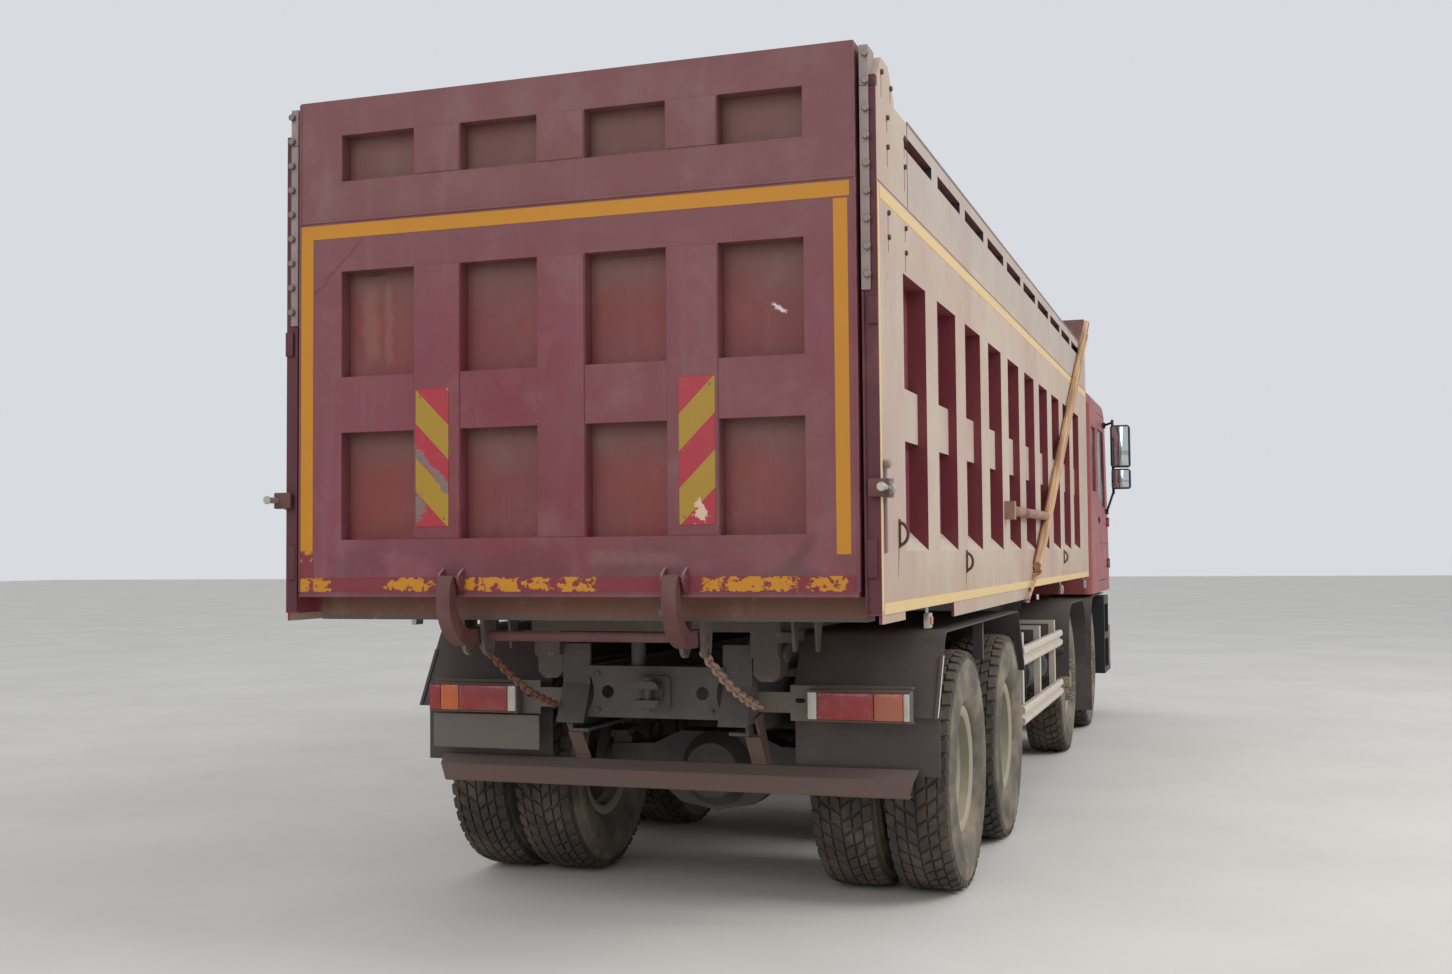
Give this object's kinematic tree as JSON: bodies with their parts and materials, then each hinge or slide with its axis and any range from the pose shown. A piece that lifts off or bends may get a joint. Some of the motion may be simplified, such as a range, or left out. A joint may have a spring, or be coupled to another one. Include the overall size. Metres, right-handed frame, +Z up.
{
  "type": "four-axle dump truck",
  "caption": "Heavy rigid tipper: ribbed steel body hinged at the rear, top-hung tailgate, front hoist, tilting cab, two steered axles and twin-wheel tandem.",
  "frame": {"origin": "on the ground under the middle of the truck's length and width", "axes": "+X forward, +Y to the left side, +Z up"},
  "size_m": [10.3849, 3.02, 3.5598],
  "materials": {
    "body_paint": "dusty maroon paint, worn and scratched",
    "chassis_paint": "dark chassis paint under dust and mud",
    "rust_steel": "brown surface rust",
    "rim_paint": "dusty pale rim paint",
    "rubber_tread": "dusty tyre rubber",
    "cab_paint": "faded red paint with dust",
    "glass": "tinted dusty glass",
    "trim_plastic": "black grained plastic",
    "rubber_flap": "black rubber flap, dusty",
    "lamp": "red, amber and clear lamp lenses",
    "cylinder_steel": "ground steel tube",
    "pole_wood": "weathered timber",
    "seat_fabric": "grey seat cloth"
  },
  "bodies": {
    "chassis": {"frame_rails": "chassis_paint", "crossmembers": "chassis_paint", "rear_crossmember": "chassis_paint", "underrun_bar": "rust_steel", "lamps": "lamp", "axle_beams": "chassis_paint", "leaf_springs": "chassis_paint", "engine": "chassis_paint", "driveline": "chassis_paint", "fuel_tank": "chassis_paint", "battery_box": "chassis_paint", "air_tanks": "chassis_paint", "side_guards": "chassis_paint", "mudguards": "rubber_flap", "cab_steps": "trim_plastic", "bumper": "cab_paint"},
    "cab": {"cab_shell": "cab_paint", "cab_glass": "glass", "cab_interior": "seat_fabric", "air_intake": "chassis_paint"},
    "tipper": {"body_floor": "body_paint", "body_side_left": "body_paint", "body_side_right": "body_paint", "sideboards": "body_paint", "headboard": "body_paint", "tarp_poles": "pole_wood"},
    "gate": {"tailgate": "body_paint", "gate_extension": "body_paint"},
    "hooks": {"gate_hooks": "rust_steel"},
    "door_left": {"door_left": "cab_paint", "door_glass_left": "glass", "mirrors_left": "trim_plastic"},
    "door_right": {"door_right": "cab_paint", "door_glass_right": "glass", "mirrors_right": "trim_plastic"},
    "hoist_barrel": {"hoist_barrel": "cylinder_steel"},
    "hoist_1": {"hoist_stage_1": "cylinder_steel"},
    "hoist_2": {"hoist_stage_2": "cylinder_steel"},
    "hoist_3": {"hoist_stage_3": "cylinder_steel"},
    "hoist_4": {"hoist_stage_4": "cylinder_steel"},
    "knuckle_1_left": {"knuckle_1_left": "chassis_paint"},
    "wheel_1_left": {"rim_1_left": "rim_paint", "tyre_1_left": "rubber_tread"},
    "knuckle_1_right": {"knuckle_1_right": "chassis_paint"},
    "wheel_1_right": {"rim_1_right": "rim_paint", "tyre_1_right": "rubber_tread"},
    "knuckle_2_left": {"knuckle_2_left": "chassis_paint"},
    "wheel_2_left": {"rim_2_left": "rim_paint", "tyre_2_left": "rubber_tread"},
    "knuckle_2_right": {"knuckle_2_right": "chassis_paint"},
    "wheel_2_right": {"rim_2_right": "rim_paint", "tyre_2_right": "rubber_tread"},
    "wheel_3_left": {"rims_3_left": "rim_paint", "tyres_3_left": "rubber_tread"},
    "wheel_3_right": {"rims_3_right": "rim_paint", "tyres_3_right": "rubber_tread"},
    "wheel_4_left": {"rims_4_left": "rim_paint", "tyres_4_left": "rubber_tread"},
    "wheel_4_right": {"rims_4_right": "rim_paint", "tyres_4_right": "rubber_tread"}
  },
  "joints": [
    {"name": "body_tip", "type": "hinge", "parent": "chassis", "child": "tipper", "pos_m": [-4.075, 0, 1.157], "axis": [0, -1, 0], "range_deg": [0, 45]},
    {"name": "gate_swing", "type": "hinge", "parent": "tipper", "child": "gate", "pos_m": [-4.955, 0, 3.37], "axis": [0, 1, 0], "range_deg": [0, 75]},
    {"name": "hook_open", "type": "hinge", "parent": "tipper", "child": "hooks", "pos_m": [-4.915, 0, 1.268], "axis": [0, -1, 0], "range_deg": [0, 55]},
    {"name": "cab_tilt", "type": "hinge", "parent": "chassis", "child": "cab", "pos_m": [4.975, 0, 0.8], "axis": [0, 1, 0], "range_deg": [0, 50]},
    {"name": "door_left", "type": "hinge", "parent": "cab", "child": "door_left", "pos_m": [4.85, 1.254, 1.9], "axis": [0, 0, -1], "range_deg": [0, 68]},
    {"name": "door_right", "type": "hinge", "parent": "cab", "child": "door_right", "pos_m": [4.85, -1.254, 1.9], "axis": [0, 0, 1], "range_deg": [0, 68]},
    {"name": "steer_1_left", "type": "hinge", "parent": "chassis", "child": "knuckle_1_left", "pos_m": [3.7, 0.85, 0.5625], "axis": [0, 0, 1], "range_deg": [-35, 35]},
    {"name": "wheel_1_left", "type": "hinge", "parent": "knuckle_1_left", "child": "wheel_1_left", "pos_m": [3.7, 1.015, 0.5625], "axis": [0, 1, 0], "continuous": true},
    {"name": "steer_1_right", "type": "hinge", "parent": "chassis", "child": "knuckle_1_right", "pos_m": [3.7, -0.85, 0.5625], "axis": [0, 0, 1], "range_deg": [-35.5, 35.5]},
    {"name": "wheel_1_right", "type": "hinge", "parent": "knuckle_1_right", "child": "wheel_1_right", "pos_m": [3.7, -1.015, 0.5625], "axis": [0, 1, 0], "continuous": true},
    {"name": "steer_2_left", "type": "hinge", "parent": "chassis", "child": "knuckle_2_left", "pos_m": [1.9, 0.85, 0.5625], "axis": [0, 0, 1], "range_deg": [-25, 25]},
    {"name": "wheel_2_left", "type": "hinge", "parent": "knuckle_2_left", "child": "wheel_2_left", "pos_m": [1.9, 1.015, 0.5625], "axis": [0, 1, 0], "continuous": true},
    {"name": "steer_2_right", "type": "hinge", "parent": "chassis", "child": "knuckle_2_right", "pos_m": [1.9, -0.85, 0.5625], "axis": [0, 0, 1], "range_deg": [-25, 25]},
    {"name": "wheel_2_right", "type": "hinge", "parent": "knuckle_2_right", "child": "wheel_2_right", "pos_m": [1.9, -1.015, 0.5625], "axis": [0, 1, 0], "continuous": true},
    {"name": "wheel_3_left", "type": "hinge", "parent": "chassis", "child": "wheel_3_left", "pos_m": [-1.875, 0.9135, 0.5625], "axis": [0, 1, 0], "continuous": true},
    {"name": "wheel_3_right", "type": "hinge", "parent": "chassis", "child": "wheel_3_right", "pos_m": [-1.875, -0.9135, 0.5625], "axis": [0, 1, 0], "continuous": true},
    {"name": "wheel_4_left", "type": "hinge", "parent": "chassis", "child": "wheel_4_left", "pos_m": [-3.225, 0.9135, 0.5625], "axis": [0, 1, 0], "continuous": true},
    {"name": "wheel_4_right", "type": "hinge", "parent": "chassis", "child": "wheel_4_right", "pos_m": [-3.225, -0.9135, 0.5625], "axis": [0, 1, 0], "continuous": true},
    {"name": "hoist_lean", "type": "hinge", "parent": "chassis", "child": "hoist_barrel", "pos_m": [3.005, 0, 1.16], "axis": [0, -1, 0], "range_deg": [0, 27.5]},
    {"name": "hoist_slide_1", "type": "slide", "parent": "hoist_barrel", "child": "hoist_1", "axis": [-0.0316, 0, 0.9995], "range_m": [0, 1.36]},
    {"name": "hoist_slide_2", "type": "slide", "parent": "hoist_1", "child": "hoist_2", "axis": [-0.0316, 0, 0.9995], "range_m": [0, 1.36]},
    {"name": "hoist_slide_3", "type": "slide", "parent": "hoist_2", "child": "hoist_3", "axis": [-0.0316, 0, 0.9995], "range_m": [0, 1.36]},
    {"name": "hoist_slide_4", "type": "slide", "parent": "hoist_3", "child": "hoist_4", "axis": [-0.0316, 0, 0.9995], "range_m": [0, 1.36]}
  ],
  "couplings": [
    {"joint": "hook_open", "follows": "body_tip", "ratio": 1.2},
    {"joint": "steer_1_right", "follows": "steer_1_left", "ratio": 1},
    {"joint": "steer_2_left", "follows": "steer_1_left", "ratio": 0.7},
    {"joint": "steer_2_right", "follows": "steer_1_left", "ratio": 0.7},
    {"joint": "hoist_lean", "follows": "body_tip", "ratio": 0.59},
    {"joint": "hoist_slide_1", "follows": "body_tip", "m_per_rad": 1.6874},
    {"joint": "hoist_slide_2", "follows": "body_tip", "m_per_rad": 1.6874},
    {"joint": "hoist_slide_3", "follows": "body_tip", "m_per_rad": 1.6874},
    {"joint": "hoist_slide_4", "follows": "body_tip", "m_per_rad": 1.6874}
  ]
}
